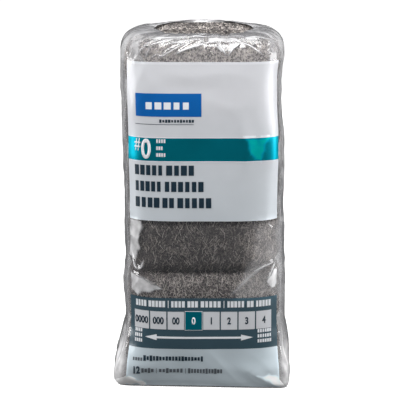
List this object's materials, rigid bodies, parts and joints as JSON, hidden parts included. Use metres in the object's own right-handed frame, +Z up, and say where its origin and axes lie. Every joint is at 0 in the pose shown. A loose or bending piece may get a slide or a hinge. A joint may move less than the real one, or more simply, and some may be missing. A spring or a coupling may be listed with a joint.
{
  "type": "pack of steel wool pads",
  "caption": "Clear film bag of pressed steel wool pads stacked two deep, with a printed front, a welded base and an oval mouth at the top.",
  "frame": {"origin": "centre of the pack's base", "axes": "+Z up along the stack of pads, the printed front faces -Y, +X is to the right of someone facing the front"},
  "size_m": [0.1178, 0.0728, 0.24],
  "materials": {
    "clear_film": "clear thin film, glossy and creased",
    "steel_wool": "matted fine steel fibres",
    "pale_ink": "opaque pale grey-white print under gloss film",
    "teal_ink": "opaque teal print under gloss film",
    "blue_ink": "opaque blue print under gloss film",
    "slate_ink": "opaque slate print under gloss film"
  },
  "bodies": {
    "root": {"film_bag": "clear_film", "pad_front_1": "steel_wool", "pad_front_2": "steel_wool", "pad_front_3": "steel_wool", "pad_front_4": "steel_wool", "pad_front_5": "steel_wool", "pad_front_6": "steel_wool", "pad_back_1": "steel_wool", "pad_back_2": "steel_wool", "pad_back_3": "steel_wool", "pad_back_4": "steel_wool", "pad_back_5": "steel_wool", "pad_back_6": "steel_wool"}
  },
  "joints": []
}
